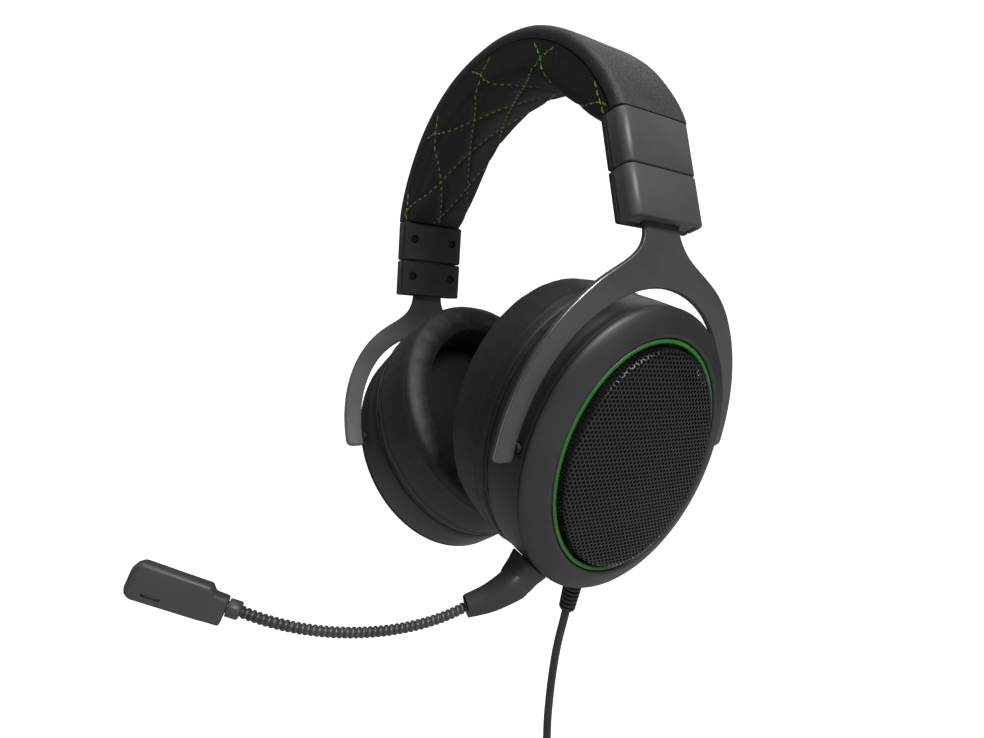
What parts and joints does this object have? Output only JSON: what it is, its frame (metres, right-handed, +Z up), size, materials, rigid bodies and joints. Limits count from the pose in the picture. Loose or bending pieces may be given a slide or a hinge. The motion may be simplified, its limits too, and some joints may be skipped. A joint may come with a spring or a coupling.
{
  "type": "gaming headset",
  "caption": "Wired over-ear headset: padded arched band, sliding housings, forked yokes, tilting oval ear cups, plug-in gooseneck microphone and coiled cable with a jack plug.",
  "frame": {"origin": "midway between the two ear cups, level with their centres, where the head that wears the headset is centred", "axes": "+Z up towards the band, the wearer faces -Y, the wearer's left is +X"},
  "size_m": [0.1718, 0.2007, 0.3877],
  "materials": {
    "leatherette": "satin grained",
    "spring_steel": "brushed",
    "shell_plastic": "matte fine texture",
    "steel": "brushed",
    "painted_metal": "satin paint",
    "green_plastic": "satin",
    "grille_sheet": "satin perforated",
    "dark_plastic": "matte",
    "board": "gloss",
    "rubber": "matte",
    "cable_rubber": "matte",
    "gooseneck_metal": "satin paint"
  },
  "bodies": {
    "headband": {"headband_cover": "leatherette", "headband_frame": "spring_steel", "headband_pad": "leatherette", "upper_housing_shell_left": "shell_plastic", "upper_housing_plate_left": "shell_plastic", "upper_screw_front_left": "steel", "upper_screw_rear_left": "steel", "upper_housing_shell_right": "shell_plastic", "upper_housing_plate_right": "shell_plastic", "upper_screw_front_right": "steel", "upper_screw_rear_right": "steel"},
    "slider_left": {"lower_housing_shell_left": "shell_plastic", "lower_housing_plate_left": "shell_plastic", "slider_strip_left": "spring_steel", "yoke_left": "painted_metal", "lower_screw_front_left": "steel", "lower_screw_rear_left": "steel", "pivot_pin_front_left": "painted_metal", "pivot_pin_rear_left": "painted_metal"},
    "slider_right": {"lower_housing_shell_right": "shell_plastic", "lower_housing_plate_right": "shell_plastic", "slider_strip_right": "spring_steel", "yoke_right": "painted_metal", "lower_screw_front_right": "steel", "lower_screw_rear_right": "steel", "pivot_pin_front_right": "painted_metal", "pivot_pin_rear_right": "painted_metal"},
    "cup_left": {"cup_shell_left": "shell_plastic", "cup_bezel_left": "shell_plastic", "accent_ring_left": "green_plastic", "grille_left": "grille_sheet", "driver_left": "dark_plastic", "baffle_left": "dark_plastic", "ear_cushion_left": "leatherette", "circuit_board": "board", "mic_socket": "dark_plastic", "strain_relief": "rubber", "cable_lead": "cable_rubber", "cable_coil": "cable_rubber", "cable_tail": "cable_rubber", "cable_tie": "dark_plastic", "plug_body": "rubber", "plug_pin": "steel"},
    "cup_right": {"cup_shell_right": "shell_plastic", "cup_bezel_right": "shell_plastic", "accent_ring_right": "green_plastic", "grille_right": "grille_sheet", "driver_right": "dark_plastic", "baffle_right": "dark_plastic", "ear_cushion_right": "leatherette"},
    "volume_wheel_body": {"volume_wheel": "rubber"},
    "mute_button_body": {"mute_button": "dark_plastic"},
    "microphone": {"mic_elbow": "shell_plastic", "mic_jack": "steel", "gooseneck_root": "gooseneck_metal"},
    "boom_middle": {"gooseneck_middle": "gooseneck_metal"},
    "boom_tip": {"gooseneck_tip": "gooseneck_metal", "mic_collar": "dark_plastic", "mic_neck": "shell_plastic", "mic_body": "shell_plastic"}
  },
  "joints": [
    {"name": "size_left", "type": "slide", "parent": "headband", "child": "slider_left", "axis": [0.1426, 0, -0.9898], "range_m": [0, 0.018]},
    {"name": "size_right", "type": "slide", "parent": "headband", "child": "slider_right", "axis": [-0.1426, 0, -0.9898], "range_m": [0, 0.018]},
    {"name": "tilt_left", "type": "hinge", "parent": "slider_left", "child": "cup_left", "pos_m": [0.06009, 0, -0.00359], "axis": [0, 1, 0], "range_deg": [-22, 0]},
    {"name": "tilt_right", "type": "hinge", "parent": "slider_right", "child": "cup_right", "pos_m": [-0.06009, 0, -0.00359], "axis": [0, -1, 0], "range_deg": [-22, 0]},
    {"name": "mic_unplug", "type": "slide", "parent": "cup_left", "child": "microphone", "axis": [-0.2974, -0.6082, -0.736], "range_m": [0, 0.02]},
    {"name": "boom_bend_low", "type": "hinge", "parent": "microphone", "child": "boom_middle", "pos_m": [0.02596, -0.06104, -0.06276], "axis": [0.9705, -0.241, 0], "range_deg": [-25, 25]},
    {"name": "boom_bend_high", "type": "hinge", "parent": "boom_middle", "child": "boom_tip", "pos_m": [0.0169, -0.09782, -0.05942], "axis": [0.9705, -0.241, 0], "range_deg": [-25, 25]},
    {"name": "volume_turn", "type": "hinge", "parent": "cup_left", "child": "volume_wheel_body", "pos_m": [0.04422, 0.03243, -0.0255], "axis": [0.9272, 0, -0.3746], "range_deg": [-140, 140]},
    {"name": "mute_press", "type": "slide", "parent": "cup_left", "child": "mute_button_body", "axis": [0.3015, -0.5934, 0.7463], "range_m": [0, 0.0012], "stiffness_N_per_m": 400, "springref_m": -0.0005}
  ]
}
